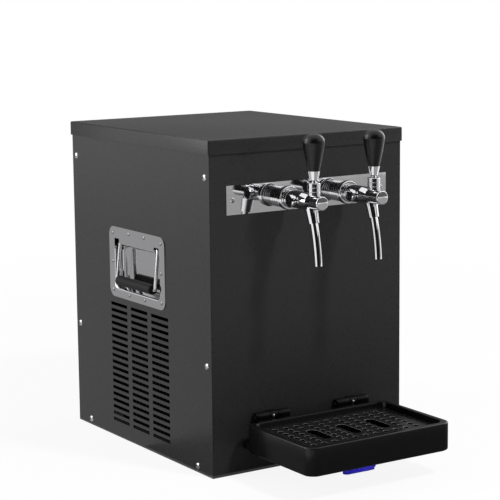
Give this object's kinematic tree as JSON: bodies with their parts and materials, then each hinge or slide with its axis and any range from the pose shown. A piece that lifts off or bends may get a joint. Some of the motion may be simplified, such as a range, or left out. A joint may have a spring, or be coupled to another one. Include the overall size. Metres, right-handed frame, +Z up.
{
  "type": "beer tap cooler",
  "caption": "Counter-top beer cooler: black steel cabinet with chrome lever taps on a polished plate, a folding drip tray with a drain cap, louvred sides and recessed swing-out carry handles.",
  "frame": {"origin": "middle of the cabinet's base, on the surface that it stands on", "axes": "+Z up, the taps and the drip tray face -Y, +X to the right seen from the front"},
  "size_m": [0.3676, 0.6255, 0.5096],
  "materials": {
    "black_sheet": "fine black powder coat",
    "zinc_sheet": "zinc plated",
    "screws": "bright plated",
    "plate": "polished stainless steel",
    "tap_chrome": "polished chrome",
    "lock_nut": "bare brass",
    "tap_handle": "gloss black",
    "piston": "natural plastic",
    "handle_plate": "zinc plated, satin",
    "wire": "bright zinc",
    "grip": "matte black",
    "tray": "satin black",
    "pins": "turned steel",
    "drain_cap": "satin blue",
    "compressor": "satin black paint",
    "fan": "matte",
    "copper": "copper tube in black foam rubber sleeves",
    "cold_block": "as cast",
    "insulation": "rigid foam",
    "beer_line": "stainless tube"
  },
  "bodies": {
    "cabinet": {"base_pan": "black_sheet", "front_panel": "black_sheet", "back_panel": "black_sheet", "left_side_panel": "black_sheet", "right_side_panel": "black_sheet", "lid": "black_sheet", "mid_shelf": "zinc_sheet", "case_screws": "screws", "tap_plate": "plate", "tap_shanks": "tap_chrome", "coupling_nuts": "tap_chrome", "left_tap_body": "tap_chrome", "right_tap_body": "tap_chrome", "front_caps": "tap_chrome", "lever_collars": "tap_chrome", "spout_sleeves": "tap_chrome", "left_spout": "tap_chrome", "right_spout": "tap_chrome", "shank_nuts": "lock_nut", "left_handle_plate": "handle_plate", "right_handle_plate": "handle_plate", "handle_rivets": "wire", "tray_bumpers": "grip", "compressor_grommets": "grip", "hinge_blocks": "tray", "thermostat": "tray", "mains_inlet": "tray", "hinge_pins": "pins", "compressor": "compressor", "condenser": "compressor", "fan_motor": "compressor", "fan_frame": "fan", "refrigerant_lines": "copper", "cold_block": "cold_block", "insulation_box": "insulation", "insulation_cover": "insulation", "beer_lines": "beer_line", "beer_inlets": "beer_line"},
    "left_lever": {"left_tap_lever": "tap_chrome", "left_lever_ferrule": "tap_chrome", "left_tap_handle": "tap_handle"},
    "right_lever": {"right_tap_lever": "tap_chrome", "right_lever_ferrule": "tap_chrome", "right_tap_handle": "tap_handle"},
    "left_piston": {"left_tap_piston": "piston"},
    "right_piston": {"right_tap_piston": "piston"},
    "left_flow": {"left_flow_knob": "tap_chrome"},
    "right_flow": {"right_flow_knob": "tap_chrome"},
    "left_bail": {"left_handle_bail": "wire", "left_handle_grip": "grip"},
    "right_bail": {"right_handle_bail": "wire", "right_handle_grip": "grip"},
    "tray": {"drip_tray": "tray", "drip_grille": "tray", "hinge_knuckles": "tray"},
    "seal": {"drain_seal": "grip"},
    "cap": {"drain_cap": "drain_cap"},
    "fan": {"fan_rotor": "fan"},
    "dial": {"thermostat_knob": "tray"}
  },
  "joints": [
    {"name": "left_lever_tip", "type": "hinge", "parent": "cabinet", "child": "left_lever", "pos_m": [-0.0534, -0.303, 0.431], "axis": [1, 0, 0], "range_deg": [-22, 22]},
    {"name": "left_piston_slide", "type": "slide", "parent": "cabinet", "child": "left_piston", "axis": [0, 1, 0], "range_m": [-0.0061, 0.0061]},
    {"name": "left_flow_turn", "type": "hinge", "parent": "cabinet", "child": "left_flow", "pos_m": [-0.0679, -0.268, 0.4105], "axis": [1, 0, 0], "range_deg": [-90, 90]},
    {"name": "left_handle_swing", "type": "hinge", "parent": "cabinet", "child": "left_bail", "pos_m": [-0.169, 0.004, 0.32], "axis": [0, 1, 0], "range_deg": [0, 90]},
    {"name": "right_lever_tip", "type": "hinge", "parent": "cabinet", "child": "right_lever", "pos_m": [0.0534, -0.303, 0.431], "axis": [1, 0, 0], "range_deg": [-22, 22]},
    {"name": "right_piston_slide", "type": "slide", "parent": "cabinet", "child": "right_piston", "axis": [0, 1, 0], "range_m": [-0.0061, 0.0061]},
    {"name": "right_flow_turn", "type": "hinge", "parent": "cabinet", "child": "right_flow", "pos_m": [0.0389, -0.268, 0.4105], "axis": [1, 0, 0], "range_deg": [-90, 90]},
    {"name": "right_handle_swing", "type": "hinge", "parent": "cabinet", "child": "right_bail", "pos_m": [0.169, 0.004, 0.32], "axis": [0, -1, 0], "range_deg": [0, 90]},
    {"name": "tray_fold", "type": "hinge", "parent": "cabinet", "child": "tray", "pos_m": [0, -0.219, 0.084], "axis": [-1, 0, 0], "range_deg": [0, 90]},
    {"name": "drain_seal_drop", "type": "slide", "parent": "tray", "child": "seal", "axis": [0, 0, -1], "range_m": [0, 0.003]},
    {"name": "drain_cap_turn", "type": "hinge", "parent": "seal", "child": "cap", "pos_m": [0, -0.3375, 0.0126], "axis": [0, 0, -1], "range_deg": [0, 360]},
    {"name": "fan_spin", "type": "hinge", "parent": "cabinet", "child": "fan", "pos_m": [-0.117, 0, 0.0962], "axis": [1, 0, 0], "continuous": true},
    {"name": "dial_turn", "type": "hinge", "parent": "cabinet", "child": "dial", "pos_m": [-0.095, 0.212, 0.19], "axis": [0, 1, 0], "range_deg": [0, 270]}
  ],
  "couplings": [
    {"joint": "left_piston_slide", "follows": "left_lever_tip", "m_per_rad": 0.0157},
    {"joint": "right_piston_slide", "follows": "right_lever_tip", "m_per_rad": 0.0157},
    {"joint": "drain_seal_drop", "follows": "drain_cap_turn", "m_per_rad": 0.00047746}
  ]
}
